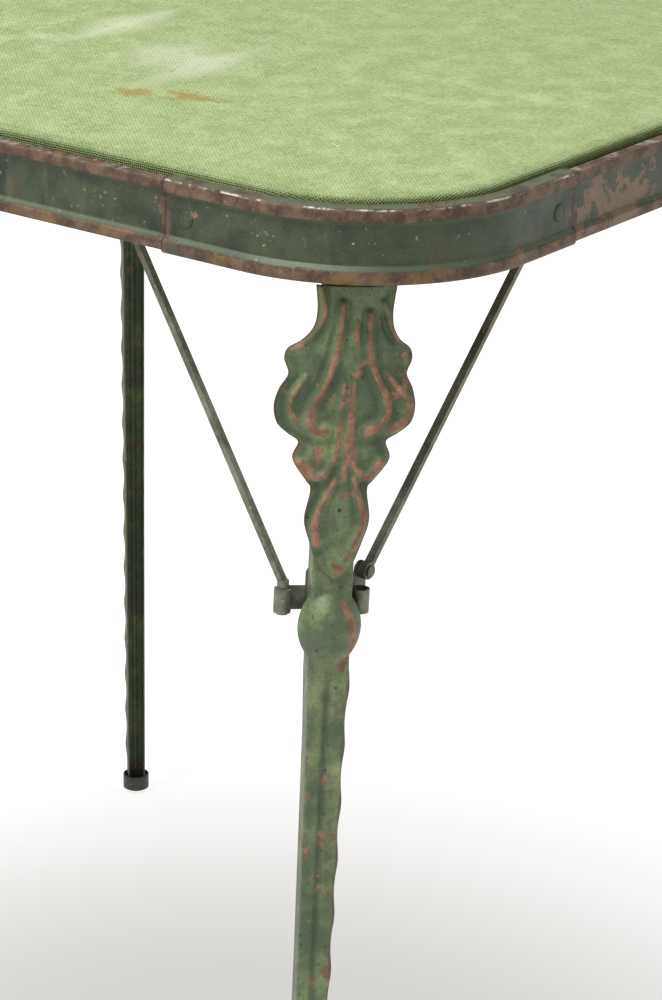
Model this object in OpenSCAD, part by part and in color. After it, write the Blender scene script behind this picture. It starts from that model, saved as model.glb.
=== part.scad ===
// Folding card table: a covered panel in a pressed-steel rim, on four legs that fold
// one behind the other round the underside. Origin on the floor under the middle, +Z up.
// Corner 1 is at -X -Y; corners 2, 3 and 4 follow anticlockwise and are alike.

/* [Table] */
// Length of each side of the square top, over the rim
top_side = 762; // [740:1:1000]
// Height of the rim's top flange above the floor
table_height = 686; // [500:1:700]

/* [Rim] */
// Height of the pressed rim
rim_height = 31; // [26:0.5:45]
// Outside radius of the rounded corners
corner_radius = 80; // [60:1:95]
// Distance from the sharp corner to the seam between corner piece and rail
seam_at = 118; // [112:1:150]
// How far each rail slides inside the corner piece
rail_lap = 25; // [18:1:30]
// Sheet thickness of the rim
steel = 0.9; // [0.6:0.05:1.2]
// Width of the top flange beside the panel
flange_width = 7.5; // [6.5:0.1:9]
// How far the ledge under the panel reaches in from the outside
ledge_reach = 16; // [14:0.5:22]
// Depth of the ledge below the top flange
ledge_drop = 4.5; // [3:0.1:7]
// How deep the web is set back behind the two beads
web_depth = 2.2; // [1:0.1:3]
// Height of the bead along the top edge
bead_height = 5.4; // [5:0.1:7]
// Height of the bead along the bottom edge
foot_bead_height = 5.4; // [5:0.1:7]
// Distance from the seam to the rivet that holds it
rivet_inset = 10; // [8:0.5:14]
// Radius of a rim rivet's head
rivet_head_r = 3.8; // [3:0.1:5]

/* [Panel] */
// Thickness of the panel board
board_thickness = 5; // [4:0.1:8]
// Thickness of the cloth cover
cloth = 0.9; // [0.5:0.1:1.5]
// Gap between the covered panel and the rim
panel_gap = 1.7; // [1:0.1:3]
// How far the cloth is turned under the board
turn_under = 14; // [10:1:30]

/* [Legs] */
// Distance of the hinge axis from the rim side that it runs along
hinge_x = 30; // [28:0.5:34]
// Distance of the leg from the rim side that it folds along
hinge_y = 50; // [49:0.5:52]
// Outward lean of an opened leg, in degrees
leg_splay = 1.75; // [0:0.25:2]
// Width of the leg channel at the top
leg_width = 16.5; // [14:0.5:18]
// Depth of the leg channel at the top
leg_depth = 12; // [10:0.5:13]
// Width of the leg channel at the foot
foot_width = 10.8; // [9:0.2:11]
// Depth of the leg channel at the foot
foot_depth = 8.8; // [7:0.2:9]
// Sheet thickness of the leg at the foot
leg_steel = 0.8; // [0.6:0.05:1]
// Depth of the groove down the leg's front
groove_depth = 1.6; // [0.8:0.1:2]
// Radius of the swell where the braces meet the leg
swell_r = 13.2; // [11:0.2:15]
// Distance of the swell's middle below the hinge
swell_drop = 153; // [148:1:170]
// Radius of the hinge pin
hinge_pin_r = 2.5; // [2:0.1:3]
// Outside radius of the hinge barrel
barrel_r = 6; // [5:0.1:7]
// Length of the hinge barrel
barrel_length = 16; // [12:0.5:18]
// Outside radius of the foot
glide_r = 8.3; // [8:0.1:10]
// Height of the foot
glide_height = 12; // [10:0.5:16]

/* [Leaf] */
// Thickness of the leaf plate
leaf_thickness = 1.2; // [0.8:0.1:2]
// Scale of the leaf's width
leaf_spread = 1; // [0.8:0.05:1.1]

/* [Braces] */
// Distance of the folding brace's pivot below the hinge
brace_pivot_drop = 132; // [120:1:136]
// Distance of the folding brace's pivot behind the middle of the leg
brace_back = 16; // [16:0.5:18]
// Distance of the folding brace's upper end from the hinge, along the rim
fold_brace_reach = 158; // [150:1:180]
// Distance of the side brace's upper end from the leg, along the rim
side_brace_reach = 94; // [80:1:100]
// Width of a brace across its flat
brace_width = 3.6; // [3:0.1:4]
// Thickness of a brace
brace_depth = 2.4; // [2:0.1:2.8]
// Sheet thickness of a brace
brace_steel = 0.8; // [0.6:0.1:1]
// Radius of the sliding stud on the folding brace
stud_r = 2; // [1.6:0.1:2.4]
// Radius of the folding brace's pivot rivet
pivot_r = 1.6; // [1.3:0.1:1.9]
// Height of the clip that holds the braces to the leg
clip_height = 10; // [8:0.5:12]
// Sheet thickness of the clip
clip_steel = 1.1; // [0.8:0.1:1.3]

/* [Clearances] */
// Gap between the rails and the corner pieces that cover them
sheet_gap = 0.05; // [0.02:0.01:0.1]
// Radial clearance of a pin in its hole
pin_gap = 0.05; // [0.02:0.01:0.1]
// Side gap between pieces that turn against each other
side_gap = 0.3; // [0.2:0.05:0.5]

/* [Hidden] */
$fn = 48;
corners = [1, 2, 3, 4];
corner_parts = ["rail", "corner_piece", "corner_plate", "hinge_pin", "brace_guide", "brace_bracket",
    "leg_shell", "leaf_plate", "hinge_barrel", "brace_clip", "side_brace", "foot_glide",
    "brace_rivet", "fold_brace"];

// Rim
inside_bend = 0.15;
edge_r = 2 * steel + sheet_gap + inside_bend;
rail_shift = steel + sheet_gap;
rail_start = seam_at - rail_lap;
foot_reach = flange_width + 1;
rivet_r = rivet_head_r / 2;
rivet_head = 0.9;
rail_ledge_under = ledge_drop + rail_shift + steel;

// Panel
cloth_inset = flange_width + panel_gap;
board_inset = cloth_inset + cloth;
board_bottom = table_height - ledge_drop + cloth;
board_top = board_bottom + board_thickness;
screw_r = 1.6;
screw_head_r = 3.2;
screw_head = 1.8;
screw_grip = 3.5;
screw_u = (board_inset + ledge_reach - rail_shift) / 2;
screw_past_bracket = 16;
screw_at = hinge_y + side_brace_reach + screw_past_bracket;

// Hinge
plate_steel = 1.5;
ear_steel = 1.8;
ear_r = 7;
ear_gap = 0.6;
guide_steel = 1.2;
hinge_drop = brace_back + stud_r + side_gap + guide_steel + rail_ledge_under;
hinge_z = table_height - hinge_drop;
ear_from = barrel_length / 2 + side_gap;
ear_to = ear_from + ear_steel;
pin_head_r = hinge_pin_r + 1.5;
pin_head = 1.2;
plate_reach = rail_start - 3;
plate_top = ledge_drop + steel;

// Foot: a dome whose lowest point is on the floor at any lean
dome_r = 14;
sole = 4;
foot_tip = (hinge_z - dome_r) / cos(leg_splay) + dome_r;
leg_top = -3;
leg_bottom = sole - foot_tip;
cup_wall = 1;

// Swell and clip, in the leg's own frame
swell_flat = 0.9;
swell_front = -1;
clip_drop = brace_pivot_drop + 6;
side_strip_u = leg_width / 2 + 0.1;
curl_pin_r = 2.4;
curl_r = curl_pin_r + pin_gap + clip_steel;
clip_back = leg_depth / 2 + clip_steel;
left_curl = [-18.5, clip_back - curl_r];
right_curl = [side_strip_u + 1.2 + curl_r, 2.6];
ear_plane = brace_width / 2 + 0.5 - 6;
brace_plane = -6;
eye_r = pivot_r + 2;
rivet_flange_r = pivot_r + 0.8;
rivet_flange = 0.9;

// Folding brace, in the plane of the fold: x along the rim, y up from the hinge axis
pivot_at = [brace_back * cos(leg_splay) - brace_pivot_drop * sin(leg_splay),
    -brace_back * sin(leg_splay) - brace_pivot_drop * cos(leg_splay)];
stud_at = [fold_brace_reach, brace_back];
brace_run = stud_at - pivot_at;
brace_length = norm(brace_run);
brace_rise = atan2(brace_run[1], brace_run[0]);
stud_length = brace_width + 5;
guide_from = hinge_x + stud_at[0] - stud_r - side_gap - guide_steel;
guide_to = hinge_x + brace_pivot_drop + brace_length + 8;
stop_depth = 4;
catch_depth = 0.7;
catch_gap = 0.5;
bar_slot = brace_width + 1;

// Side brace, in the leg's own frame
side_top_x = -15;
side_top_z = -4;
lug_r = 4.5;
lug_pin_r = 1.8;
lug_steel = 2;
pin_below = 0.8;
pin_above = 3.5;

// Leaf edge from the neck to the tip: half width, height below the hinge, sideways shift
leaf_edge = [[16, -9, 3.4], [15, -19, 3.4], [16, -26, 3], [19.5, -31, 2.2], [24.2, -34.5, 1.6],
    [25.4, -39, 1.5], [23.6, -45, 1.5], [28.2, -58, 0.9], [26.8, -65, 1], [17.6, -73, 0.6], [19.4, -80, 0.5], [13.6, -89, 0.3], [11.4, -93, 0.2],
    [13.1, -105, 0], [10.9, -114, 0], [6.6, -125, 0]];
leaf_tip = [0, -131];

// Geometry helpers
function arc(centre, r, from, to, n = 5) =
    [for (i = [0:n]) let (a = from + (to - from) * i / n) centre + r * [cos(a), sin(a)]];
function reversed(list) = [for (i = [len(list) - 1:-1:0]) list[i]];
function left_of(a, b) = let (d = (b - a) / norm(b - a)) [-d[1], d[0]];
function shifted_point(path, i, distance) =
    let (last = len(path) - 1,
        before = left_of(path[max(i - 1, 0)], path[max(i, 1)]),
        after = left_of(path[min(i, last - 1)], path[min(i + 1, last)]))
    path[i] + distance * (before + after) / (1 + before * after);
function shifted(path, distance) = [for (i = [0:len(path) - 1]) shifted_point(path, i, distance)];
function sheet(path, from, thickness) =
    concat(shifted(path, from), reversed(shifted(path, from + thickness)));
function smooth_between(a, b, c, d, t) =
    0.5 * ((2 * b) + (c - a) * t + (2 * a - 5 * b + 4 * c - d) * t * t
        + (3 * b - a - 3 * c + d) * t * t * t);
function smooth(points, n = 4) =
    let (last = len(points) - 1)
    concat([for (i = [0:last - 1], j = [0:n - 1])
        smooth_between(points[max(i - 1, 0)], points[i], points[i + 1],
            points[min(i + 2, last)], j / n)], [points[last]]);

// Seen face of the rim: ledge, lip, top flange, top bead, web, bottom bead. x runs inwards.
rim_path = concat(
    [[ledge_reach, -ledge_drop], [flange_width, -ledge_drop], [flange_width, 0]],
    arc([edge_r, -edge_r], edge_r, 90, 180),
    [[0, -bead_height], [web_depth, -bead_height - web_depth],
    [web_depth, -rim_height + foot_bead_height + web_depth], [0, -rim_height + foot_bead_height]],
    arc([edge_r, -rim_height + edge_r], edge_r, 180, 270),
    [[foot_reach, -rim_height]]);

// Frames
module at_corner(k) rotate([0, 0, 90 * (k - 1)]) translate([-top_side / 2, -top_side / 2, 0]) children();
module at_leg(k) at_corner(k) translate([hinge_x, hinge_y, hinge_z]) rotate([0, leg_splay, 0]) children();
module facing_out() rotate([0, 0, -45]) children();
module along_x(length) rotate([90, 0, 90]) linear_extrude(length) children();
module along_y(length) translate([0, length, 0]) rotate([90, 0, 0]) linear_extrude(length) children();
module rod_y(r, from, to) translate([0, from, 0]) rotate([-90, 0, 0]) cylinder(r = r, h = to - from);

// Rim pieces
module rim_rivet_at(k) {
    at_corner(k) translate([seam_at - rivet_inset, web_depth, table_height - rim_height / 2]) children();
    at_corner(k) translate([web_depth, seam_at - rivet_inset, table_height - rim_height / 2])
        rotate([0, 0, 90]) mirror([0, 1, 0]) children();
}

module panel_screw_at() {
    for (k = corners, x = [screw_at, top_side - screw_at]) at_corner(k)
        translate([x, screw_u, table_height - rail_ledge_under]) children();
}

module rail(k) color("darkolivegreen") difference() {
    at_corner(k) translate([rail_start, 0, table_height])
        along_x(top_side - 2 * rail_start) polygon(sheet(rim_path, rail_shift, steel));
    for (j = [k, k % 4 + 1]) rim_rivet_at(j) rod_y(rivet_r + pin_gap, -1, 2 * steel + 2);
    panel_screw_at() translate([0, 0, -1]) cylinder(r = screw_r + pin_gap, h = steel + 2);
}

module corner_piece(k) color("darkolivegreen") difference() {
    at_corner(k) translate([0, 0, table_height]) {
        section = sheet(rim_path, 0, steel);
        translate([corner_radius, 0, 0]) along_x(seam_at - corner_radius) polygon(section);
        translate([0, corner_radius, 0]) along_y(seam_at - corner_radius) polygon(section);
        translate([corner_radius, corner_radius, 0]) rotate([0, 0, 180])
            rotate_extrude(angle = 90, $fn = 96) polygon([for (p = section) [corner_radius - p[0], p[1]]]);
    }
    rim_rivet_at(k) rod_y(rivet_r + pin_gap, -1, 2 * steel + 2);
}

module corner_rivets() color("saddlebrown") for (k = corners) rim_rivet_at(k) {
    inside = 2 * steel + sheet_gap;
    rod_y(rivet_r, 0, inside);
    rod_y(rivet_head_r, -rivet_head, 0);
    rod_y(rivet_r + 1, inside, inside + rivet_head);
}

// Panel
module rounded_top(inset) {
    half = top_side / 2 - inset;
    r = corner_radius - inset;
    square([2 * half, 2 * (half - r)], center = true);
    square([2 * (half - r), 2 * half], center = true);
    for (x = [-1, 1], y = [-1, 1]) translate([x * (half - r), y * (half - r)]) circle(r, $fn = 96);
}

module slab(inset, from, to) translate([0, 0, from]) linear_extrude(to - from) rounded_top(inset);

module panel_board() color("burlywood") difference() {
    slab(board_inset, board_bottom, board_top);
    panel_screw_at() cylinder(r = screw_r + pin_gap, h = rail_ledge_under - ledge_drop + cloth + screw_grip);
}

module fabric_cover() color("darkkhaki") difference() {
    slab(cloth_inset, board_bottom - cloth, board_top + cloth);
    slab(board_inset, board_bottom, board_top);
    slab(cloth_inset + turn_under, board_bottom - 2 * cloth, board_bottom + cloth);
    panel_screw_at() cylinder(r = screw_r + pin_gap, h = rail_ledge_under - ledge_drop + cloth + 0.5);
}

module panel_screws() color("dimgray") panel_screw_at() {
    translate([0, 0, -screw_head]) cylinder(r = screw_head_r, h = screw_head);
    cylinder(r = screw_r, h = rail_ledge_under - ledge_drop + cloth + screw_grip - 0.3);
}

// Hinge pieces on the frame
module corner_plate(k) color("dimgray") at_corner(k) difference() {
    union() {
        translate([0, 0, table_height - plate_top - plate_steel]) linear_extrude(plate_steel) intersection() {
            translate([top_side / 2, top_side / 2]) rounded_top(flange_width + 0.5);
            polygon([[0, 0], [plate_reach, 0], [plate_reach, 30], [70, 75], [30, plate_reach], [0, plate_reach]]);
        }
        for (side = [-1, 1]) translate([hinge_x, hinge_y, hinge_z]) {
            from = side < 0 ? -ear_to : ear_from;
            rod_y(ear_r, from, from + ear_steel);
            translate([-ear_r, from, 0])
                cube([2 * ear_r, ear_steel, hinge_drop - plate_top - plate_steel + 0.2]);
        }
    }
    translate([hinge_x, hinge_y, hinge_z]) rod_y(hinge_pin_r + pin_gap, -ear_to - 1, ear_to + 1);
}

module hinge_pin(k) color("silver") at_corner(k) translate([hinge_x, hinge_y, hinge_z]) {
    rod_y(hinge_pin_r, -ear_to, ear_to);
    rod_y(pin_head_r, -ear_to - pin_head, -ear_to);
    rod_y(pin_head_r, ear_to, ear_to + pin_head);
}

module brace_guide(k) color("dimgray") at_corner(k) {
    across = hinge_y + brace_plane;
    under = table_height - rail_ledge_under;
    difference() {
        union() {
            translate([guide_from, flange_width, under - guide_steel])
                cube([guide_to - guide_from, across + stud_length / 2 - flange_width, guide_steel]);
            translate([guide_from, across - stud_length / 2, under - guide_steel - stop_depth])
                cube([guide_steel, stud_length, stop_depth + 0.1]);
            translate([hinge_x + stud_at[0] + stud_r + catch_gap, across - stud_length / 2,
                under - guide_steel - catch_depth]) cube([1.2, stud_length, catch_depth + 0.1]);
        }
        translate([guide_from - 1, across - bar_slot / 2, under - guide_steel - stop_depth - 1])
            cube([stud_r * 2 + 10, bar_slot, stop_depth + 1]);
    }
}

module brace_bracket(k) color("dimgray") at_corner(k) translate([hinge_x, hinge_y + side_brace_reach, hinge_z]) {
    ear_y = lug_steel / 2 + side_gap;
    rise = hinge_drop - rail_ledge_under;
    translate([flange_width - hinge_x, ear_y - 6, rise - plate_steel])
        cube([hinge_x - flange_width + lug_r, 6 + ear_steel, plate_steel]);
    rod_y(lug_r, ear_y, ear_y + ear_steel);
    translate([-lug_r, ear_y, 0]) cube([2 * lug_r, ear_steel, rise - plate_steel + 0.1]);
    rod_y(lug_pin_r, -ear_y - 1, ear_y + 0.1);
    rod_y(lug_pin_r + 1, -ear_y - 1, -ear_y);
}

// Leg pieces
module leg_section() {
    w = foot_width / 2;
    d = foot_depth / 2;
    groove = groove_depth * foot_width / leg_width;
    polygon(sheet([[-w, d], [-w, -d], [-groove, -d], [0, groove - d], [groove, -d], [w, -d], [w, d]],
        0, leg_steel));
}

module swell(r) rotate_extrude()
    polygon(concat([for (a = [-90:6:90]) [r * cos(a), r * swell_flat * sin(a)]]));

module leg_shell(k) color("darkseagreen") at_leg(k) facing_out() difference() {
    union() {
        translate([0, 0, leg_bottom]) linear_extrude(leg_top - leg_bottom, slices = 1,
            scale = [leg_width / foot_width, leg_depth / foot_depth]) leg_section();
        intersection() {
            translate([0, 0, -swell_drop]) difference() {
                swell(swell_r);
                swell(swell_r - 1.2);
            }
            translate([-50, swell_front - 50, -swell_drop - 50]) cube([100, 50, 100]);
        }
    }
    rotate([0, 0, 45]) {
        rod_y(barrel_r, -barrel_length / 2, barrel_length / 2);
        rod_y(ear_r + ear_gap, -50, -barrel_length / 2);
        rod_y(ear_r + ear_gap, barrel_length / 2, 50);
    }
}

module hinge_barrel(k) color("darkseagreen") at_leg(k) difference() {
    rod_y(barrel_r, -barrel_length / 2, barrel_length / 2);
    rod_y(hinge_pin_r + pin_gap, -barrel_length, barrel_length);
}

module leaf_plate(k) color("darkseagreen") at_leg(k) facing_out()
    translate([0, -leg_depth / 2 - 0.02, 0]) rotate([90, 0, 0]) linear_extrude(leaf_thickness) {
        right = [for (p = leaf_edge) [p[0] * leaf_spread + p[2], p[1]]];
        left = [for (p = leaf_edge) [p[2] - p[0] * leaf_spread, p[1]]];
        polygon(concat(smooth(right), [leaf_tip], reversed(smooth(left))));
    }

module curl(at) translate([at[0], at[1], 0]) difference() {
    cylinder(r = curl_r, h = clip_height);
    translate([0, 0, -1]) cylinder(r = curl_r - clip_steel, h = clip_height + 2);
}

module brace_clip(k) color("slategray") at_leg(k) difference() {
    union() {
        facing_out() translate([0, 0, -clip_drop - clip_height]) {
            translate([left_curl[0], clip_back - clip_steel, 0])
                cube([side_strip_u + clip_steel - left_curl[0], clip_steel, clip_height]);
            translate([side_strip_u, right_curl[1], 0])
                cube([clip_steel, clip_back - right_curl[1], clip_height]);
            translate([side_strip_u, right_curl[1], 0])
                cube([right_curl[0] - curl_r + 0.5 - side_strip_u, clip_steel, clip_height]);
            curl(left_curl);
            curl(right_curl);
            translate([-9, clip_back - clip_steel, clip_height / 2]) cube([7, clip_steel, clip_height]);
            translate([-5.5, clip_back, clip_height * 1.5]) rotate([90, 0, 0])
                cylinder(r = 3.5, h = clip_steel);
        }
        translate([leg_depth * 0.8, ear_plane, -clip_drop - clip_height])
            cube([brace_back + eye_r - leg_depth * 0.8, clip_steel, clip_height + clip_drop - brace_pivot_drop]);
        translate([brace_back, 0, -brace_pivot_drop]) rod_y(eye_r, ear_plane, ear_plane + clip_steel);
    }
    translate([brace_back, 0, -brace_pivot_drop]) rod_y(pivot_r + pin_gap, -20, 20);
    facing_out() translate([left_curl[0], left_curl[1], -clip_drop - clip_height - 1])
        cylinder(r = curl_r - clip_steel, h = clip_height + 2);
}

module brace_rivet(k) color("silver") at_leg(k) translate([brace_back, 0, -brace_pivot_drop]) {
    outside = brace_plane - brace_width / 2 - 0.2;
    inside = ear_plane + clip_steel;
    rod_y(pivot_r, outside, inside);
    rod_y(rivet_flange_r, outside - rivet_flange, outside);
    rod_y(rivet_flange_r, inside, inside + rivet_flange);
}

// A brace is a narrow channel: its back is the wide side, its open side shows a groove
module channel(length) difference() {
    translate([0, -brace_width / 2, -brace_depth / 2]) cube([length, brace_width, brace_depth]);
    translate([-1, -brace_width / 2 + brace_steel, -brace_depth / 2 - 1])
        cube([length + 2, brace_width - 2 * brace_steel, brace_depth - brace_steel + 1]);
}

module side_brace(k) color("slategray") at_leg(k) {
    foot = [(left_curl[0] + left_curl[1]) / sqrt(2), (left_curl[1] - left_curl[0]) / sqrt(2)];
    low = [foot[0], foot[1], 2.5 - clip_drop];
    high = [side_top_x, side_brace_reach, side_top_z];
    run = high - low;
    difference() {
        union() {
            translate([foot[0], foot[1], -clip_drop - clip_height - pin_below])
                cylinder(r = curl_pin_r, h = pin_below + clip_height + pin_above);
            translate(low) rotate([0, -atan2(run[2], norm([run[0], run[1]])), atan2(run[1], run[0])])
                channel(norm(run));
            translate([0, side_brace_reach, 0]) {
                rod_y(lug_r, -lug_steel / 2, lug_steel / 2);
                translate([side_top_x - 1, -lug_steel / 2, side_top_z - brace_width / 2])
                    cube([-side_top_x + 1, lug_steel, brace_width + 1]);
            }
        }
        translate([0, side_brace_reach, 0]) rod_y(lug_pin_r + pin_gap, -lug_steel, lug_steel);
    }
}

module fold_brace(k) color("slategray") at_corner(k)
    translate([hinge_x + pivot_at[0], hinge_y + brace_plane, hinge_z + pivot_at[1]])
    rotate([0, -brace_rise, 0]) difference() {
        union() {
            translate([eye_r - 0.5, 0, 0]) channel(brace_length - eye_r + 1);
            rod_y(eye_r, -brace_width / 2, brace_width / 2);
            translate([brace_length, 0, 0]) rod_y(stud_r, -stud_length / 2, stud_length / 2);
        }
        rod_y(pivot_r + pin_gap, -brace_width, brace_width);
    }

module foot_glide(k) color("darkslategray") at_leg(k) translate([0, 0, -foot_tip]) difference() {
    union() {
        intersection() {
            translate([0, 0, dome_r]) sphere(dome_r, $fn = 64);
            cylinder(r = glide_r, h = sole);
        }
        translate([0, 0, dome_r - sqrt(dome_r * dome_r - glide_r * glide_r)])
            cylinder(r = glide_r, h = glide_height - 3);
        translate([0, 0, glide_height - 2]) cylinder(r = glide_r - 0.4, h = 2);
    }
    translate([0, 0, sole]) cylinder(r = glide_r - cup_wall, h = glide_height);
}

panel_board();
fabric_cover();
corner_rivets();
panel_screws();
for (k = corners) {
    rail(k);
    corner_piece(k);
    corner_plate(k);
    hinge_pin(k);
    brace_guide(k);
    brace_bracket(k);
    leg_shell(k);
    leaf_plate(k);
    hinge_barrel(k);
    brace_clip(k);
    side_brace(k);
    foot_glide(k);
    brace_rivet(k);
    fold_brace(k);
}
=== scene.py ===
import math
import bmesh
import bpy
import numpy as np
from mathutils import Matrix, Vector


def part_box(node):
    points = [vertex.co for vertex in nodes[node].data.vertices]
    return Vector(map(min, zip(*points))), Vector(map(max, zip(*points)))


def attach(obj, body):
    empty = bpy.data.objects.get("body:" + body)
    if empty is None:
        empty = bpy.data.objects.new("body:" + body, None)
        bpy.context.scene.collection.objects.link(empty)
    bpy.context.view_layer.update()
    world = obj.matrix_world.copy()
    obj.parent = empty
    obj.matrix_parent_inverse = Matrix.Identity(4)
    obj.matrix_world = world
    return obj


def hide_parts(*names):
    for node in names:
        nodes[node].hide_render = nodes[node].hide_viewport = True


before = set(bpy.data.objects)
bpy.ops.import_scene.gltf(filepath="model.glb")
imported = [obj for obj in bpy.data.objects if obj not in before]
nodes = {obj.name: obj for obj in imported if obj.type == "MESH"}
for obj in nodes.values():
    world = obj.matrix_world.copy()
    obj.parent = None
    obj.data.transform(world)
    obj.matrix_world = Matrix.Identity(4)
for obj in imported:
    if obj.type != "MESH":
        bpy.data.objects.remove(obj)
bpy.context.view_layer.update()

print("frame loaded")

mm = 0.001
cornerNumbers = (1, 2, 3, 4)
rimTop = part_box("corner_piece_1")[1].z
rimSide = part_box("corner_piece_1")[0].x
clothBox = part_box("fabric_cover")
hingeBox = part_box("hinge_pin_1")
hinge = np.array((hingeBox[0] + hingeBox[1]) / 2)
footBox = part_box("foot_glide_1")
footMiddle = (footBox[0] + footBox[1]) / 2
legLean = math.atan2(hinge[0] - footMiddle.x, hinge[2] - footMiddle.z)


def linear(red, green, blue):
    return tuple((c / 255 / 12.92) if c <= 10 else ((c / 255 + 0.055) / 1.055) ** 2.4
                 for c in (red, green, blue)) + (1.0,)


def smoothStep(x, low, high):
    t = np.clip((np.asarray(x, float) - low) / (high - low), 0, 1)
    return t * t * (3 - 2 * t)


def curveThrough(points, steps=6):
    # Catmull-Rom through the points
    p = np.array([points[0]] + list(points) + [points[-1]], float)
    out = []
    for i in range(1, len(p) - 2):
        a, b, c, d = p[i - 1], p[i], p[i + 1], p[i + 2]
        for j in range(steps):
            t = j / steps
            out.append(0.5 * (2 * b + (c - a) * t + (2 * a - 5 * b + 4 * c - d) * t ** 2
                              + (3 * b - a - 3 * c + d) * t ** 3))
    out.append(p[-2])
    return np.array(out)


def meshObject(name, points, faces, material=None, marks=None, flat=False):
    mesh = bpy.data.meshes.new(name)
    mesh.from_pydata([tuple(map(float, p)) for p in points], [], faces)
    for mark, values in (marks or {}).items():
        layer = mesh.attributes.new(mark, "FLOAT", "POINT")
        layer.data.foreach_set("value", np.asarray(values, np.float32))
    work = bmesh.new()
    work.from_mesh(mesh)
    bmesh.ops.recalc_face_normals(work, faces=work.faces)
    work.to_mesh(mesh)
    work.free()
    mesh.polygons.foreach_set("use_smooth", [not flat] * len(mesh.polygons))
    obj = bpy.data.objects.new(name, mesh)
    bpy.context.collection.objects.link(obj)
    if material:
        mesh.materials.append(material)
    return obj


def turned(points, k):
    # corner 1 carried round to corner k
    angle = math.pi / 2 * (k - 1)
    c, s = math.cos(angle), math.sin(angle)
    p = np.asarray(points)
    return np.stack([c * p[:, 0] - s * p[:, 1], s * p[:, 0] + c * p[:, 1], p[:, 2]], 1)


def onLeg(u, v, z):
    # the leg's own frame in mm: u sideways, v inwards from its front, z up from the hinge
    x = (u + v) / math.sqrt(2) * mm
    y = (v - u) / math.sqrt(2) * mm
    z = z * mm
    c, s = math.cos(legLean), math.sin(legLean)
    return np.stack([hinge[0] + c * x + s * z, hinge[1] + y, hinge[2] - s * x + c * z], -1)


def shellFaces(rows, columns):
    # two grids, outer then inner, closed round all four edges
    count = rows * columns
    faces = []
    for r in range(rows - 1):
        for c in range(columns - 1):
            a = r * columns + c
            faces.append((a, a + 1, a + columns + 1, a + columns))
            faces.append((count + a, count + a + columns, count + a + columns + 1, count + a + 1))
    edge = ([c for c in range(columns)] + [r * columns + columns - 1 for r in range(1, rows)]
            + [(rows - 1) * columns + c for c in range(columns - 2, -1, -1)]
            + [r * columns for r in range(rows - 2, 0, -1)])
    for i, a in enumerate(edge):
        b = edge[(i + 1) % len(edge)]
        faces.append((a, count + a, count + b, b))
    return faces


def faceAndBack(face, back):
    # one mark for a shell: its own value on the face, a plain one on the back
    return np.concatenate([face.ravel(), np.full(face.size, back)])


# Shader sums written as plain expressions
class Wire:
    def __init__(self, tree, socket):
        self.tree = tree
        self.socket = socket

    def feed(self, target, value):
        if isinstance(value, Wire):
            self.tree.links.new(value.socket, target)
        else:
            target.default_value = value

    def sum(self, kind, *items):
        node = self.tree.nodes.new("ShaderNodeMath")
        node.operation = kind
        for slot, item in enumerate(items):
            self.feed(node.inputs[slot], item)
        return Wire(self.tree, node.outputs[0])

    def __add__(self, other): return self.sum("ADD", self, other)
    def __radd__(self, other): return self.sum("ADD", other, self)
    def __sub__(self, other): return self.sum("SUBTRACT", self, other)
    def __rsub__(self, other): return self.sum("SUBTRACT", other, self)
    def __mul__(self, other): return self.sum("MULTIPLY", self, other)
    def __rmul__(self, other): return self.sum("MULTIPLY", other, self)
    def __truediv__(self, other): return self.sum("DIVIDE", self, other)
    def __neg__(self): return self.sum("MULTIPLY", self, -1.0)
    def most(self, other): return self.sum("MAXIMUM", self, other)
    def least(self, other): return self.sum("MINIMUM", self, other)
    def sine(self): return self.sum("SINE", self)
    def size(self): return self.sum("ABSOLUTE", self)


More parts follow.
